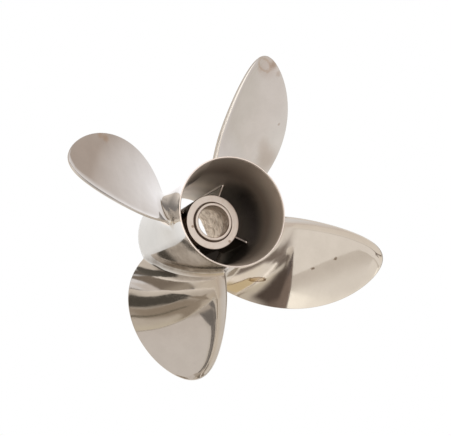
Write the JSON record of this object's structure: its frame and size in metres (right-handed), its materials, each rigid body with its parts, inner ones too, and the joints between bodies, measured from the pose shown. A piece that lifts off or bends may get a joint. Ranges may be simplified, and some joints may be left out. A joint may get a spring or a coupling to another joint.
{
  "type": "stern drive boat propeller",
  "caption": "Right-hand stainless propeller with raked, cupped blades on an open exhaust barrel, with a ribbed inner hub for the shaft.",
  "frame": {"origin": "centre of the barrel's front rim, on the shaft's axis", "axes": "+Z aft along the shaft's axis; X and Y lie midway between the ribs"},
  "size_m": [0.3084, 0.3084, 0.1784],
  "materials": {
    "polished_steel": "stainless steel casting, mirror polished, with fine scratches",
    "satin_steel": "stainless steel casting, satin, as blasted inside the barrel",
    "machined_steel": "stainless steel, turned, with fine tool rings"
  },
  "bodies": {
    "root": {"exhaust_barrel": "polished_steel", "blade_1": "polished_steel", "blade_2": "polished_steel", "blade_3": "polished_steel", "blade_4": "polished_steel", "inner_hub": "satin_steel", "rib_1": "satin_steel", "rib_2": "satin_steel", "rib_3": "satin_steel", "rib_4": "satin_steel", "hub_sleeve": "machined_steel"}
  },
  "joints": []
}
